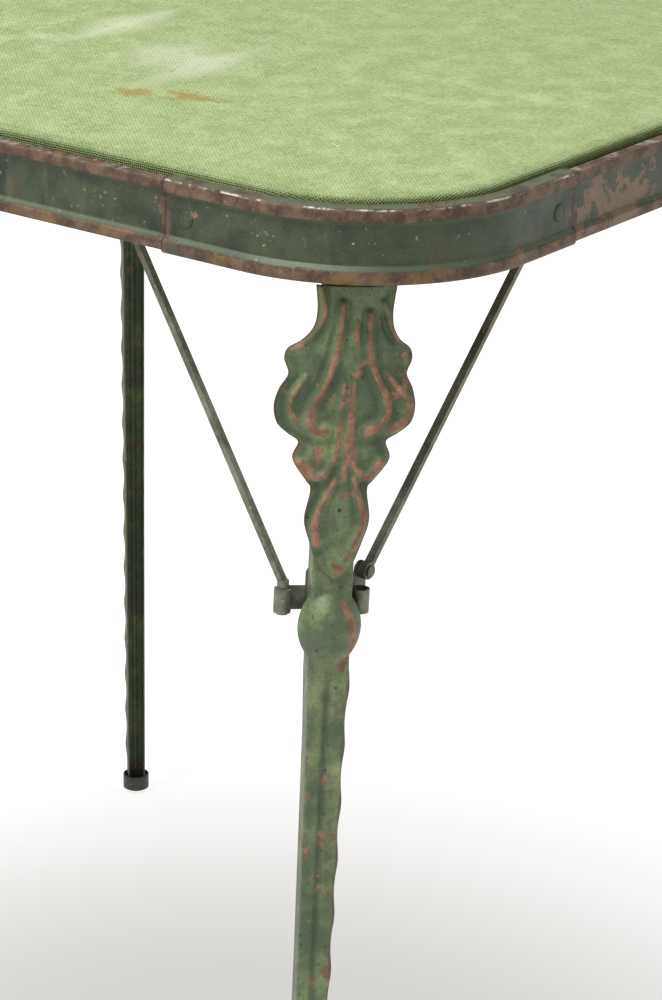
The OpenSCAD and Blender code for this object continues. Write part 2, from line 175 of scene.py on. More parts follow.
class Finish:
    # one material with a Principled shader
    def __init__(self, name, **fixed):
        self.material = bpy.data.materials.new(name)
        self.material.use_nodes = True
        self.tree = self.material.node_tree
        self.tree.nodes.clear()
        self.shader = self.tree.nodes.new("ShaderNodeBsdfPrincipled")
        output = self.tree.nodes.new("ShaderNodeOutputMaterial")
        self.tree.links.new(self.shader.outputs[0], output.inputs[0])
        for key, value in fixed.items():
            self.shader.inputs[key.replace("_", " ")].default_value = value
        self.place = self.node("ShaderNodeTexCoord", out="Object")
        self.x, self.y, self.z = (self.part(self.place, i) * 1000.0 for i in range(3))

    def node(self, kind, settings=None, out=0, **inputs):
        node = self.tree.nodes.new(kind)
        for key, value in (settings or {}).items():
            setattr(node, key, value)
        for key, value in inputs.items():
            numbered = key[0] == "i" and key[1:].isdigit()
            target = node.inputs[int(key[1:]) if numbered else key.replace("_", " ")]
            if isinstance(value, Wire):
                self.tree.links.new(value.socket, target)
            else:
                target.default_value = value
        return Wire(self.tree, node.outputs[out])

    def part(self, vector, i):
        return self.node("ShaderNodeSeparateXYZ", out=i, i0=vector)

    def stretch(self, sx, sy, sz):
        return self.node("ShaderNodeVectorMath", {"operation": "MULTIPLY"},
                         i0=self.place, i1=(sx, sy, sz))

    def noise(self, size, detail=4.0, rough=0.55, vector=None):
        # size is the wavelength in mm
        return self.node("ShaderNodeTexNoise", Vector=vector or self.place, Scale=1000.0 / size,
                         Detail=detail, Roughness=rough)

    def specks(self, size, share, soft=0.06):
        # round specks: size is their spacing in mm, share how much of it they fill
        cell = self.node("ShaderNodeTexVoronoi", out="Distance", Vector=self.place, Scale=1000.0 / size)
        chance = self.noise(size * 2.6, 1.0)
        return self.step(share * (chance * 2.4 - 0.75) - cell, -soft, soft)

    def step(self, value, low, high):
        return self.node("ShaderNodeMapRange", {"interpolation_type": "SMOOTHSTEP"},
                         Value=value, i1=low, i2=high)

    def band(self, value, low, high, soft):
        rise = self.step(value, low - soft, low + soft)
        return rise * (1.0 - self.step(value, high - soft, high + soft))

    def mix(self, a, b, share):
        return self.node("ShaderNodeMix", {"data_type": "RGBA"}, out=2, i0=share, i6=a, i7=b)

    def mark(self, name):
        return self.node("ShaderNodeAttribute", {"attribute_name": name}, out="Fac")

    def sqrt(self, value):
        return value.sum("SQRT", value)

    def relief(self, height, depth):
        # depth in metres
        node = self.tree.nodes.new("ShaderNodeBump")
        node.inputs["Distance"].default_value = depth
        self.tree.links.new(height.socket, node.inputs["Height"])
        return Wire(self.tree, node.outputs[0])

    def wear(self, colour=None, roughness=None, metallic=None, normal=None):
        for key, wire in (("Base Color", colour), ("Roughness", roughness),
                          ("Metallic", metallic), ("Normal", normal)):
            if wire is not None:
                self.tree.links.new(wire.socket, self.shader.inputs[key])
        return self.material


# Rim: dark green web, both beads worn to brown primer, specks and chips; painted highlights on the
# folds, flange and top crest, painted shade in the seam groove
rimLook = {"beadTop": 5.6, "beadBottom": 25.4, "ragged": 1.5, "seam": 263.0, "chipAt": 0.655}


def rimPaint():
    f = Finish("rimPaint", Specular_IOR_Level=0.35)
    down = rimTop * 1000.0 - f.z
    ragged = (f.noise(7.0, 5.0, 0.7) - 0.5) * rimLook["ragged"] * 2.0
    fine = f.noise(1.6, 4.0, 0.65)
    grit = f.noise(0.9, 4.0, 0.75)
    broad = f.noise(60.0, 3.0)
    cloud = f.noise(14.0, 5.0, 0.6)
    fromSeam = f.x.size().least(f.y.size()) - rimLook["seam"]
    frontRails = f.step(f.y.size(), 362.0, 376.0)
    mottle = f.step(broad * 0.4 + cloud * 0.6, 0.38, 0.62)
    web = f.mix(linear(33, 41, 28), linear(60, 70, 48), mottle)
    web = f.mix(web, linear(66, 58, 44), f.step(cloud, 0.52, 0.70) * 0.6)
    web = f.mix(web, linear(30, 38, 28), f.step(fine, 0.56, 0.72) * 0.6)
    streak = f.noise(9.0, 4.0, 0.6, f.stretch(1.0, 1.0, 0.12))
    web = f.mix(web, linear(92, 98, 78), f.step(streak, 0.56, 0.72) * 0.3)
    # painted highlight: the sloped fold at the web's lower edge, and at half strength the step below the
    # upper bead, are painted a paler green
    fold = f.band(down, 23.4, 25.2, 0.6) + f.band(down, 5.8, 7.4, 0.7) * 0.5
    web = f.mix(web, linear(90, 104, 80), fold * 0.4)
    flange = 1.0 - f.step(down, 0.1, 0.35)
    # painted light: the upward-facing top flange is painted a paler green
    web = f.mix(web, linear(80, 88, 66), flange * 0.9)
    top = f.band(down + ragged * 0.7, 0.3, rimLook["beadTop"], 0.3)
    bottom = f.step(down + ragged, rimLook["beadBottom"] - 0.3, rimLook["beadBottom"] + 0.3)
    kept = f.step(f.noise(36.0, 4.0, 0.6), 0.60, 0.66)
    spread = f.noise(15.0, 6.0, 0.7)
    seamWear = 1.0 - f.step(fromSeam.size() + (spread - 0.5) * 14.0, 1.6, 2.4)
    railSide = f.step(-fromSeam, 0.0, 3.0) * (1.0 - f.step(-fromSeam, 20.0, 120.0))
    chipping = spread + railSide * frontRails * 0.13 + frontRails * 0.02
    belowTop = f.step(down, 0.5, 3.0)
    chips = f.step(chipping, rimLook["chipAt"], rimLook["chipAt"] + 0.007) * belowTop
    scuffed = f.step(spread + flange * 0.08, 0.60, 0.63) * flange
    beads = (top + bottom).least(1.0) * (1.0 - kept * 0.75)
    bare = beads.most(seamWear * 0.85).most(chips).most(scuffed * 0.8)
    brown = f.mix(linear(62, 46, 36), linear(102, 80, 62), f.step(f.noise(9.0, 6.0, 0.7), 0.38, 0.66))
    brown = f.mix(brown, linear(44, 32, 28), f.step(f.noise(5.0, 5.0, 0.7), 0.54, 0.68) * 0.6)
    brown = f.mix(brown, linear(136, 124, 110), f.step(f.noise(3.2, 6.0, 0.8), 0.58, 0.68) * 0.55)
    brown = f.mix(brown, linear(112, 86, 50), bottom * f.step(f.noise(12.0, 4.0), 0.5, 0.66) * 0.7)
    brown = f.mix(brown, linear(122, 104, 84), chips * (1.0 - top) * 0.6)
    # painted highlight along the rounded top edge of the upper bead, partly bare worn metal
    crestHighlightAndWear = f.band(down, 0.35, 0.9, 0.3) * f.step(f.noise(11.0, 6.0, 0.75), 0.50, 0.60)
    brown = f.mix(brown, linear(196, 190, 180), crestHighlightAndWear * 0.85)
    colour = f.mix(web, brown, bare)
    chipEdge = f.band(chipping, rimLook["chipAt"] - 0.015, rimLook["chipAt"], 0.004) * belowTop
    colour = f.mix(colour, linear(34, 40, 28), chipEdge * (1.0 - bottom) * 0.5)
    speck = f.step(f.noise(3.4, 5.0, 0.75), 0.645, 0.66) * f.step(f.noise(40.0, 2.0), 0.40, 0.55)
    tiny = f.step(grit, 0.665, 0.69) * 0.6
    light = (speck + tiny).least(1.0) * (1.0 - flange) * (1.0 - bare * 0.6)
    colour = f.mix(colour, linear(158, 154, 130), light * 0.85)
    edge = f.band(down + ragged * 1.3, rimLook["beadBottom"] - 1.7, rimLook["beadBottom"] - 0.1, 0.2)
    colour = f.mix(colour, linear(150, 144, 130), edge * f.step(f.noise(20.0, 6.0, 0.75), 0.61, 0.63))
    # painted shade: the seam groove between rail and corner piece is painted near black
    groove = 1.0 - f.step(fromSeam.size(), 0.25, 0.7)
    colour = f.mix(colour, linear(24, 22, 18), groove * 0.8)
    rough = 0.36 + fine * 0.18 + bare * 0.16
    height = bare * -0.6 + light * 0.3 + fine * 0.4 + cloud * 0.4 + grit * 0.2 - groove * 1.5
    return f.wear(colour, rough, bare * crestHighlightAndWear * 0.5, f.relief(height, 0.00025))


# Legs and leaves: mottled green, terracotta primer where the relief is rubbed, painted shade in the
# hollows and a near-black painted hole
def legPaint():
    f = Finish("legPaint", Specular_IOR_Level=0.35)
    worn = f.mark("wear")
    low = f.mark("hollowShade")
    edge = f.mark("edge")
    broad = f.noise(26.0, 4.0, 0.6)
    cloud = f.noise(6.0, 6.0, 0.68)
    fine = f.noise(1.3, 4.0, 0.7)
    mottle = f.step(broad * 0.6 + cloud * 0.4, 0.40, 0.60)
    green = f.mix(linear(70, 84, 60), linear(106, 118, 82), mottle)
    pale = f.step(broad, 0.53, 0.70) * f.step(cloud, 0.42, 0.62)
    green = f.mix(green, linear(132, 146, 88), pale * 0.8)
    # painted shade: hollows beside the ribs, the leg's groove and the back faces are painted darker
    # green
    green = f.mix(green, linear(48, 66, 46), low * 0.55)
    green = f.mix(green, linear(50, 56, 42), f.step(fine, 0.52, 0.70) * 0.55)
    green = f.mix(green, linear(58, 52, 42), f.step(f.noise(3.0, 5.0, 0.75), 0.56, 0.66) * 0.5)
    rubbed = f.step(worn + (cloud - 0.5) * 1.1 + (fine - 0.5) * 0.35, 0.50, 0.62)
    scuff = f.step(edge * 0.5 + f.noise(11.0, 6.0, 0.7), 0.705, 0.73)
    patch = f.step(f.noise(14.0, 6.0, 0.72), 0.60, 0.625) * 0.9
    bare = rubbed.most(patch)
    clay = f.mix(linear(106, 74, 56), linear(140, 106, 82), f.step(cloud, 0.38, 0.66))
    clay = f.mix(clay, linear(88, 78, 74), f.step(f.noise(4.0, 5.0, 0.7), 0.56, 0.66) * 0.6)
    colour = f.mix(green, clay, bare)
    colour = f.mix(colour, linear(84, 74, 70), scuff * 0.85)
    rusted = f.step(edge + (cloud - 0.5) * 0.6, 0.5, 0.66)
    colour = f.mix(colour, linear(96, 66, 50), rusted * 0.85)
    pits = f.specks(4.5, 0.17)
    colour = f.mix(colour, linear(52, 42, 38), pits * 0.8)
    chip = f.step(f.noise(6.0, 4.0, 0.7), 0.72, 0.74)
    colour = f.mix(colour, linear(158, 148, 130), chip * 0.8)
    # painted shade: the leaf's hole is painted near black
    colour = f.mix(colour, linear(14, 12, 11), f.mark("hole"))
    rough = 0.42 + fine * 0.18 + bare * 0.12
    height = bare * -0.5 + fine * 0.35 + cloud * 0.5 - pits * 0.8
    return f.wear(colour, rough, None, f.relief(height, 0.00018))


def plainPaint(name, dark, lightTone, rust, rustShare, roughness):
    f = Finish(name)
    broad = f.noise(22.0, 4.0, 0.6)
    cloud = f.noise(5.0, 5.0, 0.7)
    fine = f.noise(1.1, 4.0, 0.7)
    colour = f.mix(dark, lightTone, f.step(broad * 0.55 + cloud * 0.45, 0.38, 0.62))
    darker = tuple(c * 0.5 for c in dark[:3]) + (1.0,)
    colour = f.mix(colour, darker, f.step(fine, 0.55, 0.75) * 0.5)
    bare = f.step(cloud * 0.7 + broad * 0.3, 0.62 - rustShare * 0.2, 0.66 - rustShare * 0.2)
    colour = f.mix(colour, rust, bare * 0.85)
    speck = f.specks(3.4, 0.2)
    colour = f.mix(colour, linear(150, 146, 130), speck * 0.5)
    height = fine * 0.5 + cloud * 0.5 - bare * 0.5
    rough = roughness + fine * 0.2 + bare * 0.1
    return f.wear(colour, rough, None, f.relief(height, 0.00015))


def dullSteel():
    f = Finish("dullSteel")
    cloud = f.noise(3.0, 5.0, 0.7)
    fine = f.noise(0.5, 3.0, 0.7, f.stretch(0.2, 0.2, 1.0))
    colour = f.mix(linear(120, 116, 108), linear(160, 156, 148), cloud)
    bare = f.step(cloud, 0.55, 0.66)
    colour = f.mix(colour, linear(104, 72, 52), bare * 0.8)
    rough = 0.35 + fine * 0.2 + bare * 0.3
    return f.wear(colour, rough, 0.9 - bare * 0.7, f.relief(cloud + fine * 0.4, 0.0001))


def fibreBoard():
    f = Finish("fibreBoard")
    strands = f.noise(2.2, 5.0, 0.7, f.stretch(1.0, 0.25, 1.0))
    flecks = f.noise(0.9, 3.0, 0.7)
    broad = f.noise(120.0, 3.0)
    colour = f.mix(linear(112, 88, 62), linear(150, 124, 90), f.step(strands, 0.3, 0.7))
    colour = f.mix(colour, linear(86, 66, 46), f.step(flecks, 0.56, 0.7) * 0.6)
    colour = f.mix(colour, linear(96, 78, 58), f.step(broad, 0.45, 0.7) * 0.5)
    return f.wear(colour, 0.72 + flecks * 0.2, None, f.relief(strands + flecks * 0.5, 0.0003))


# Cloth: two crossing threads, uneven dye, faded and stained patches, painted shade between threads and
# on the edge's side
# each patch: place, half sizes and strength
clothLook = {"thread": 1.0,
             "faded": [(-200, -100, 34, 12, 0.75), (-228, -150, 26, 20, 0.5),
                       (-235, -172, 40, 14, 0.6), (90, 210, 60, 30, 0.5)],
             "rusty": [(-290, -178, 9, 18, 0.7), (-280, -200, 7, 20, 0.8),
                       (140, 60, 20, 9, 0.5)]}


def wovenCloth():
    f = Finish("wovenCloth", Specular_IOR_Level=0.12)
    flat = f.node("ShaderNodeUVMap", {"uv_map": "flat"})
    a = f.part(flat, 0) * 1000.0
    b = f.part(flat, 1) * 1000.0
    wobble = (f.noise(5.0, 2.0) - 0.5) * 0.5
    turn = 2 * math.pi / clothLook["thread"]
    warp = ((a + wobble) * turn * 0.5).sine()
    weft = ((b + wobble) * turn * 0.5).sine()
    lift = warp.size() * weft.size() + warp * weft * 0.35
    broad = f.noise(130.0, 4.0, 0.55)
    cloud = f.noise(16.0, 4.0, 0.6)
    grain = f.noise(1.6, 3.0, 0.7)
    alongA = f.noise(3.0, 3.0, 0.65, f.stretch(0.16, 1.0, 1.0))
    alongB = f.noise(3.0, 3.0, 0.65, f.stretch(1.0, 0.16, 1.0))
    mottle = f.step(cloud * 0.4 + grain * 0.6, 0.38, 0.62)
    colour = f.mix(linear(152, 170, 114), linear(184, 197, 144), mottle)
    colour = f.mix(colour, linear(208, 216, 138), f.step(alongA, 0.58, 0.74) * 0.15)
    colour = f.mix(colour, linear(132, 158, 122), f.step(alongB, 0.60, 0.74) * 0.22)
    for kind, tone, ragged, rough, low, high in (
            ("faded", linear(214, 218, 192), 2.2, 1.2, 0.2, 1.5),
            ("rusty", linear(164, 138, 76), 3.0, 1.4, 0.3, 1.2)):
        for x, y, wide, tall, share in clothLook[kind]:
            away = ((f.x - x) / wide).size() + ((f.y - y) / tall).size()
            away = away + (cloud - 0.5) * ragged + (grain - 0.5) * rough
            colour = f.mix(colour, tone, (1.0 - f.step(away, low, high)) * share)
    fleck = f.step(f.noise(1.9, 5.0, 0.75, f.stretch(1.0, 0.5, 1.0)), 0.58, 0.64)
    colour = f.mix(colour, linear(100, 138, 116), fleck * 0.6)
    fleck = f.step(f.noise(1.7, 4.0, 0.7, f.stretch(0.5, 1.0, 1.0)), 0.64, 0.68)
    colour = f.mix(colour, linear(214, 216, 130), fleck * 0.5)
    faded = f.step(broad * 0.7 + cloud * 0.3, 0.56, 0.68)
    colour = f.mix(colour, linear(206, 214, 172), faded * 0.55)
    stain = f.step(f.noise(48.0, 5.0, 0.65), 0.655, 0.70) * f.step(f.noise(210.0, 2.0), 0.5, 0.6)
    colour = f.mix(colour, linear(142, 122, 66), stain * 0.7)
    # painted shade between the threads of the weave
    weaveGapShade = 1.0 - f.step(lift, 0.0, 0.4)
    colour = f.mix(colour, linear(92, 112, 64), weaveGapShade * 0.36)
    # painted shade on the side of the cloth-covered edge, darkest between threads there
    side = f.mark("side")
    colour = f.mix(colour, linear(78, 92, 50), side * 0.6)
    colour = f.mix(colour, linear(30, 40, 22), side * weaveGapShade * 0.85)
    height = lift + (alongA + alongB) * 0.5
    return f.wear(colour, 0.86 + grain * 0.1, None, f.relief(height, 0.0004))


rim = rimPaint()
leg = legPaint()
cloth = wovenCloth()
steel = dullSteel()
board = fibreBoard()
brace = plainPaint("bracePaint", linear(66, 66, 55), linear(114, 114, 96),
                   linear(96, 70, 52), 0.1, 0.42)
hidden = plainPaint("hiddenPaint", linear(48, 60, 44), linear(78, 92, 68),
                    linear(96, 66, 46), 0.35, 0.5)
foot = plainPaint("footPaint", linear(40, 44, 38), linear(66, 70, 58),
                  linear(104, 78, 58), 0.3, 0.45)
nodeFinish = {"panel_board": board, "corner_rivets": rim, "panel_screws": steel, "rail": rim,
              "corner_piece": rim, "corner_plate": hidden, "hinge_pin": steel, "brace_guide": hidden,
              "brace_bracket": hidden, "leg_shell": leg, "leaf_plate": leg, "hinge_barrel": leg,
              "brace_clip": brace, "side_brace": brace, "foot_glide": foot, "brace_rivet": brace,
              "fold_brace": brace, "fabric_cover": cloth}
for name, node in nodes.items():
    finish = nodeFinish[name] if name in nodeFinish else nodeFinish[name.rsplit("_", 1)[0]]
    node.data.materials.clear()
    node.data.materials.append(finish)
print("finishes made")


# Cloth: one sheet over the board, down its edge and under it
clothSize = {"edgeRound": 2.6, "underRound": 1.2, "turnUnder": 14.0, "thickness": 0.9,
             "cornerRadius": 70.8, "foldLift": 0.45, "foldAt": 8, "foldSteps": 5,
             "sideSteps": 24, "arcSteps": 20, "innerRings": 25}


def clothLoop(inset):
    # rounded square, inset in mm from the cloth's outer edge: points, outward directions
    half = clothBox[1].x * 1000 - inset
    radius = clothSize["cornerRadius"] - inset
    centre = half - radius
    corners = [np.array(c) * centre for c in ((-1, -1), (1, -1), (1, 1), (-1, 1))]
    points, out = [], []
    for k in range(4):
        for i in range(clothSize["arcSteps"]):
            angle = math.pi + math.pi / 2 * (k + i / clothSize["arcSteps"])
            away = np.array([math.cos(angle), math.sin(angle)])
            points.append(corners[k] + radius * away)
            out.append(away)
        angle = math.pi + math.pi / 2 * (k + 1)
        away = np.array([math.cos(angle), math.sin(angle)])
        start = corners[k] + radius * away
        stop = corners[(k + 1) % 4] + radius * away
        for i in range(clothSize["sideSteps"]):
            points.append(start + (stop - start) * i / clothSize["sideSteps"])
            out.append(away)
    return np.array(points), np.array(out)


def makeCloth():
    top, bottom = clothBox[1].z * 1000, clothBox[0].z * 1000
    edge, under, thick = clothSize["edgeRound"], clothSize["underRound"], clothSize["thickness"]
    turnUnder = clothSize["turnUnder"]
    outer = [(turnUnder, bottom), (turnUnder / 2, bottom), (under, bottom)]
    outer += [(under - under * math.sin(a), bottom + under - under * math.cos(a))
              for a in (0.5, 1.05, 1.57)]
    outer += [(0, (top + bottom) / 2), (0, top - edge)]
    outer += [(edge - edge * math.cos(a), top - edge + edge * math.sin(a))
              for a in (0.4, 0.8, 1.2, 1.57)]
    inner = [(inset, bottom + thick) for inset in (turnUnder, turnUnder / 2, under)]
    inner += [(thick, bottom + thick)] * 3
    inner += [(thick, (top + bottom) / 2), (thick, top - edge)]
    inner += [(thick, top - thick - 0.5), (thick, top - thick), (thick + 0.4, top - thick),
              (edge, top - thick)]
    flatRow = len(outer) - 1
    for inset in (4, 8, 14, 22, 32):
        outer.append((inset, top))
        inner.append((inset, top - thick))
    rows = []
    for side, profile in enumerate((outer, inner)):
        travelled = 0.0
        lengths = []
        for i, (inset, z) in enumerate(outer):
            if i:
                travelled += math.hypot(inset - outer[i - 1][0], z - outer[i - 1][1])
            lengths.append(travelled)
        for i, (inset, z) in enumerate(profile):
            points, out = clothLoop(inset)
            count = len(points)
            if side == 0 and z < top - 0.1 and inset < 3:
                # the gathered cloth at each corner rises along a few steps, then drops
                along = np.arange(count)
                fold = np.zeros(count)
                for k in range(4):
                    rise = clothSize["foldSteps"]
                    end = k * (clothSize["arcSteps"] + clothSize["sideSteps"]) + clothSize["foldAt"]
                    here = (along >= end - rise) & (along <= end)
                    fold[here] = (along[here] - end + rise) / rise
                points = points + out * (fold * clothSize["foldLift"])[:, None]
            flatPoint = clothLoop(edge)[0] + out * (lengths[flatRow] - lengths[i])
            # mark for the painted shade on the cloth's side, down the edge
            sideShade = min(1.0, (top - z + 0.5) / 2.0) if side == 0 and inset < 5 else 0.0
            rows.append((points, np.full(count, z), flatPoint, np.full(count, sideShade)))
        last, z = clothLoop(profile[-1][0])[0], profile[-1][1]
        for step in range(1, clothSize["innerRings"] + 1):
            shrink = 1 - step / (clothSize["innerRings"] + 0.5)
            rows.append((last * shrink, np.full(len(last), z), last * shrink, np.zeros(len(last))))
    ring = len(rows[0][0])
    half = len(rows) // 2
    points = np.concatenate([np.column_stack([p, z]) for p, z, _, _ in rows]) * mm
    flatUv = np.concatenate([q for _, _, q, _ in rows]) * mm
    side = np.concatenate([s for _, _, _, s in rows])
    faces = []
    for sheetIndex in range(2):
        for r in range(half - 1):
            for c in range(ring):
                a = (sheetIndex * half + r) * ring
                d = (c + 1) % ring
                faces.append((a + c, a + d, a + ring + d, a + ring + c))
    for c in range(ring):
        d = (c + 1) % ring
        faces.append((c, half * ring + c, half * ring + d, d))
    for sheetIndex in range(2):
        start = (sheetIndex * half + half - 1) * ring
        faces.append(tuple(range(start, start + ring)))
    obj = meshObject("clothCover", points, faces, cloth, {"side": side})
    layer = obj.data.uv_layers.new(name="flat")
    corner = np.empty(len(obj.data.loops), np.int32)
    obj.data.loops.foreach_get("vertex_index", corner)
    layer.data.foreach_set("uv", flatUv[corner].astype(np.float32).ravel())
    return obj


clothCover = makeCloth()
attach(clothCover, "root")
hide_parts("fabric_cover")
print("cloth made")


# Leaf: outline down from the neck as half width, height below the hinge, sideways shift
leafEdge = [(16, -9, 3.4), (15, -19, 3.4), (16, -26, 3), (19.5, -31, 2.2), (24.2, -34.5, 1.6),
            (25.4, -39, 1.5), (23.6, -45, 1.5), (26.6, -51, 1.1), (28.2, -58, 0.9), (26.8, -65, 1),
            (22, -69.5, 0.8), (17.6, -73, 0.6), (19.4, -80, 0.5), (13.6, -89, 0.3),
            (11.4, -93, 0.2), (13.1, -105, 0), (10.9, -114, 0), (6.6, -125, 0), (0.3, -131, 0)]
# Raised ribs: half width, height, how rubbed, then sideways and downward places along each
leafRibs = [
    (1.6, 1.5, 1.0, [(-2, 16), (-3, 32), (-7, 48), (-12, 57), (-13, 64), (-10, 68), (-7, 68)]),
    (1.6, 1.5, 1.0, [(9, 20), (10, 38), (15, 50), (18, 58), (16, 65), (10, 68)]),
    (1.4, 0.8, 0.9, [(10, 39), (6, 41), (4, 46)]),
    (1.5, 0.9, 0.7, [(-15, 46), (-20, 53), (-21, 60), (-18, 64)]),
    (1.6, 1.1, 1.0, [(16, 44), (22, 51), (27, 58), (24, 65), (19, 68)]),
    (1.5, 0.9, 0.7, [(-11, 10), (-9, 20), (-13, 28), (-19, 34)]),
    (1.5, 0.9, 0.7, [(14, 16), (18, 26), (23, 34), (23, 40)]),
    (1.1, 0.9, 0.95, [(0, 48), (-1, 64), (-2, 80)]),
    (1.1, 0.9, 0.95, [(4, 48), (4, 66), (5, 80)]),
    (1.3, 0.5, 0.85, [(2, 49), (2, 58), (3, 70), (1, 88)]),
    (1.1, 0.6, 0.9, [(4, 24), (4, 32)]),
    (1.5, 1.2, 1.0, [(-3, 80), (-6, 86), (-11, 87), (-16, 82)]),
    (1.5, 1.2, 1.0, [(4, 78), (7, 85), (12, 87), (17, 81)]),
    (1.4, 1.1, 0.95, [(-2, 88), (-6, 97), (-9, 107), (-8, 115)]),
    (1.4, 1.1, 0.95, [(6, 88), (9, 99), (10, 108), (7, 116)]),
    (2.2, 0.5, 0.9, [(-1, 124), (2, 126)]),
    (1.8, 0.4, 0.8, [(6, 119), (4, 122)])]
leafSize = {"rows": 190, "columns": 84, "thickness": 0.8, "front": 7.2, "crown": 2.4,
            "roll": 0.6, "ribHeight": 1.4, "sink": 0.8, "hole": (0.6, -101.0, 0.7), "valley": 1.6}


def makeLeaf():
    outline = curveThrough([(z, w, c) for w, z, c in leafEdge], 8)
    order = np.argsort(-outline[:, 0])
    z = np.linspace(leafEdge[0][1], leafEdge[-1][1], leafSize["rows"])
    width = np.interp(-z, -outline[order, 0], outline[order, 1])
    centre = np.interp(-z, -outline[order, 0], outline[order, 2])
    # columns crowd towards both edges
    fan = math.pi / 2 * 0.97
    s = np.sin(np.linspace(-1, 1, leafSize["columns"]) * fan) / math.sin(fan)
    u = centre[:, None] + width[:, None] * s[None, :]
    zz = np.repeat(z[:, None], len(s), 1)
    height = leafSize["crown"] * (1 - np.abs(s[None, :]) ** 2.4) * smoothStep(width, 0, 12)[:, None]
    rubbed = np.zeros_like(u)
    beside = np.zeros_like(u)
    ribs = np.zeros_like(u)
    for spread, tall, rub, path in leafRibs:
        line = curveThrough([(a, -b) for a, b in path], 6)
        near = np.full(u.shape, 1e9)
        place = np.zeros(u.shape)
        for i in range(len(line) - 1):
            p, q = line[i], line[i + 1]
            d = q - p
            t = ((u - p[0]) * d[0] + (zz - p[1]) * d[1]) / max(d @ d, 1e-9)
            t = np.clip(t, 0, 1)
            away = np.hypot(u - p[0] - t * d[0], zz - p[1] - t * d[1])
            closer = away < near
            near = np.where(closer, away, near)
            place = np.where(closer, (i + t) / (len(line) - 1), place)
        swell = spread * (0.7 + 0.85 * place)
        ribs = np.maximum(ribs, tall * leafSize["ribHeight"] * np.exp(-(near / swell) ** 2))
        beside = np.maximum(beside, np.exp(-((near - swell * 2.0) / swell) ** 2) * tall * 0.6)
        rubbed = np.maximum(rubbed, rub * 0.86 * np.exp(-(near / (swell * 1.1)) ** 2))
    edge = (1 - np.abs(s))[None, :] * width[:, None]
    edge = np.minimum(edge, (z - leafEdge[-1][1])[:, None])
    roll = np.exp(-(edge / 0.9) ** 2)
    valley = np.exp(-((edge - 3.2) / 1.8) ** 2) * leafSize["valley"]
    valley = valley * smoothStep(width, 4, 14)[:, None]
    height = height - beside * leafSize["sink"]
    height = height + ribs * (1 - 0.6 * roll) + roll * leafSize["roll"]
    height = height - valley * (1 - np.clip(ribs, 0, 1)) * 0.6
    hu, hz, hr = leafSize["hole"]
    # the hole is a shallow dent in the sheet, painted near black as shade
    hole = np.exp(-(np.hypot(u - hu, zz - hz) / hr) ** 4)
    height = np.maximum(height - hole * 0.8, 0)
    front = -leafSize["front"] - height
    outer = onLeg(u, front, zz).reshape(-1, 3)
    inner = onLeg(u, front + leafSize["thickness"], zz).reshape(-1, 3)
    lip = np.exp(-(edge / 0.55) ** 2)
    # painted shade: darker beside the ribs and in the valley by the edge; the back face gets a plain
    # painted shade
    hollowShade = np.clip(valley * 0.5 + beside * 0.75 - ribs, 0, 1)
    marks = {"wear": faceAndBack(rubbed, 0.0), "edge": faceAndBack(lip, 0.3),
             "hollowShade": faceAndBack(hollowShade, 0.5), "hole": faceAndBack(hole, 0.0)}
    return np.concatenate([outer, inner]), shellFaces(*u.shape), marks


leafPoints, leafFaces, leafMarks = makeLeaf()
for k in cornerNumbers:
    leaf = meshObject(f"leaf_{k}", turned(leafPoints, k), leafFaces, leg, leafMarks)
    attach(leaf, f"leg_{k}")
    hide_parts(f"leaf_plate_{k}")
print("leaves made")


# Leg: a folded channel with a bulb below the leaf, a groove and a wavy right-hand edge
legSize = {"top": -8.6, "bottom": -656.4, "thickness": 0.8, "bulbMiddle": -152.0, "bulbRadius": 13.2,
           "bulbAbove": 15.0, "bulbBelow": 15.5, "groove": 1.9, "grooveHalf": 2.2, "waves": 19,
           "waveStart": -178.0, "wavePitch": 25.0, "waveHeight": 0.95, "waveLength": 7.0,
           "profilePoints": 60}
# height below the hinge, half width, half depth
legTaper = [(3, 8.25, 6), (135, 8.25, 5.8), (172, 8.4, 5.8), (200, 7.6, 5.6), (300, 6.7, 5.3),
            (480, 5.9, 4.8), (657, 5.4, 4.4)]
# the rubbed stripe round the bulb: height below the hinge, then how far right it runs
legStripe = [(138, 2.0), (143, 5.5), (150, 8.5), (160, 8.5), (168, 5.0), (176, 6.5)]


